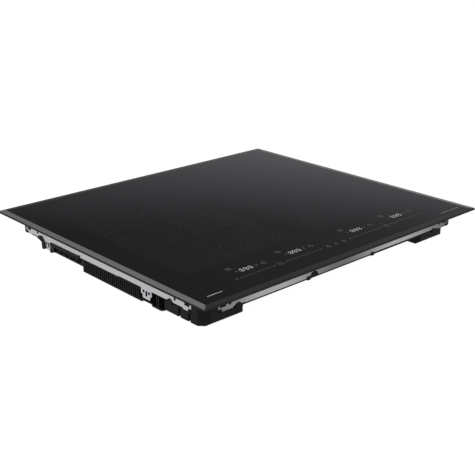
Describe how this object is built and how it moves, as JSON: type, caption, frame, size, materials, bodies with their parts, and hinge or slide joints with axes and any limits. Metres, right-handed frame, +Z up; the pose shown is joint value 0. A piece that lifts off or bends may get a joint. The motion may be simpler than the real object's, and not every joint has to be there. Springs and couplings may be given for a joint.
{
  "type": "induction hob",
  "caption": "Built-in induction hob: bevelled black glass over two flexible cooking zones, steel edge rails, stepped black tray with side air outlets.",
  "frame": {"origin": "under the middle of the glass, on the plane of the tray's lowest face", "axes": "+X along the width to the right, +Y to the rear, +Z up out of the glass"},
  "size_m": [0.592, 0.522, 0.051],
  "materials": {
    "black_glass": "gloss, fine printed dot pattern",
    "foam_seal": "matt closed-cell foam",
    "silicone": "satin",
    "zinc_steel": "hot-dip zinc, satin",
    "black_plastic": "fine spark-eroded grain",
    "black_plastic_lid": "fine grain",
    "sensor": "matt",
    "screw_steel": "bright zinc",
    "former_plastic": "natural, matt",
    "grommet_rubber": "matt",
    "circuit_board": "solder mask",
    "copper": "enamelled stranded wire",
    "capacitor": "gloss",
    "display": "diffusing",
    "ferrite": "matt",
    "mica": "pearly",
    "aluminium": "mill finish",
    "semiconductor": "matt",
    "fan_plastic": "satin"
  },
  "bodies": {
    "hob": {"board_screws": "screw_steel", "cable_grommet": "grommet_rubber", "coil_carrier_left": "aluminium", "coil_carrier_right": "aluminium", "coil_former_left_1": "former_plastic", "coil_former_left_2": "former_plastic", "coil_former_left_3": "former_plastic", "coil_former_left_4": "former_plastic", "coil_former_right_1": "former_plastic", "coil_former_right_2": "former_plastic", "coil_former_right_3": "former_plastic", "coil_former_right_4": "former_plastic", "coil_winding_left_1": "copper", "coil_winding_left_2": "copper", "coil_winding_left_3": "copper", "coil_winding_left_4": "copper", "coil_winding_right_1": "copper", "coil_winding_right_2": "copper", "coil_winding_right_3": "copper", "coil_winding_right_4": "copper", "control_holder": "former_plastic", "digit_displays": "display", "edge_seal": "foam_seal", "fan_housing_left": "fan_plastic", "fan_housing_right": "fan_plastic", "fan_motor_left": "screw_steel", "fan_motor_right": "screw_steel", "ferrite_bars_left": "ferrite", "ferrite_bars_right": "ferrite", "filter_board": "circuit_board", "filter_capacitors": "capacitor", "filter_chokes": "copper", "front_rail": "zinc_steel", "glass_top": "black_glass", "heat_sink_left": "aluminium", "heat_sink_right": "aluminium", "left_rail": "zinc_steel", "lower_tray": "black_plastic", "mica_sheet_left": "mica", "mica_sheet_right": "mica", "power_board_left": "circuit_board", "power_board_right": "circuit_board", "power_transistors_left": "semiconductor", "power_transistors_right": "semiconductor", "rear_rail": "zinc_steel", "resonant_capacitors_left": "capacitor", "resonant_capacitors_right": "capacitor", "right_rail": "zinc_steel", "silicone_bead": "silicone", "temperature_sensors": "sensor", "terminal_block": "former_plastic", "terminal_lid_pin": "screw_steel", "terminal_screws": "screw_steel", "touch_board": "circuit_board", "touch_springs": "screw_steel"},
    "fan_left": {"fan_rotor_left": "fan_plastic"},
    "fan_right": {"fan_rotor_right": "fan_plastic"},
    "terminal_flap": {"terminal_lid": "black_plastic_lid"}
  },
  "joints": [
    {"name": "fan_left_spin", "type": "hinge", "parent": "hob", "child": "fan_left", "pos_m": [-0.06, -0.03, 0.02], "axis": [0, 0, 1], "continuous": true},
    {"name": "fan_right_spin", "type": "hinge", "parent": "hob", "child": "fan_right", "pos_m": [0.06, -0.03, 0.02], "axis": [0, 0, 1], "continuous": true},
    {"name": "terminal_lid_swing", "type": "hinge", "parent": "hob", "child": "terminal_flap", "pos_m": [0, 0.213, 0.0203], "axis": [1, 0, 0], "range_deg": [0, 100]}
  ]
}
